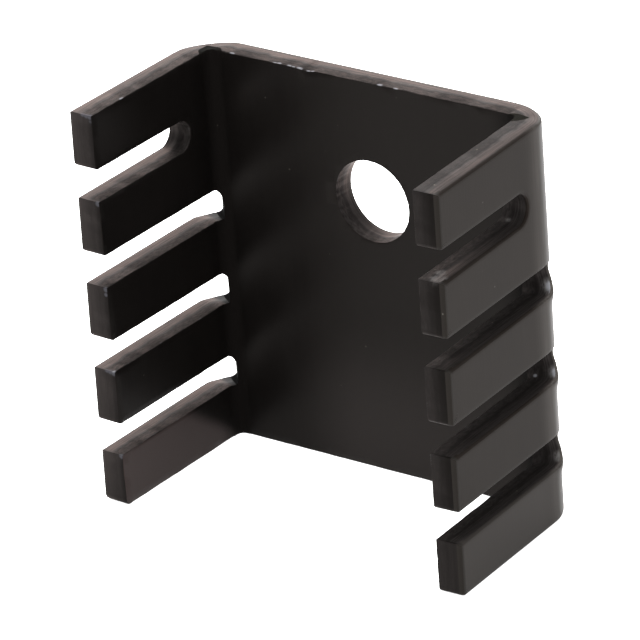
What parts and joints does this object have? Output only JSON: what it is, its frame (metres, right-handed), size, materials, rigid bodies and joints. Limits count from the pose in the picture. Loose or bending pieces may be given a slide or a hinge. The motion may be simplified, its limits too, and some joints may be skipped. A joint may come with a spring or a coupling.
{
  "type": "transistor heat sink",
  "caption": "Channel-shaped sheet heat sink for a power transistor, with a screw hole in its back plate and slotted wings folded forward as fins.",
  "frame": {"origin": "bottom centre of the bounding box, at the lower ends of the folds, which the part stands on", "axes": "+Z along the folds, up; +X across the back plate; the back plate is at +Y and the fins point towards -Y"},
  "size_m": [0.0194, 0.0096, 0.0191],
  "materials": {
    "anodised_aluminium": "black anodised, satin, a little lighter on the sheared edges"
  },
  "bodies": {
    "root": {"heat_sink": "anodised_aluminium"}
  },
  "joints": []
}
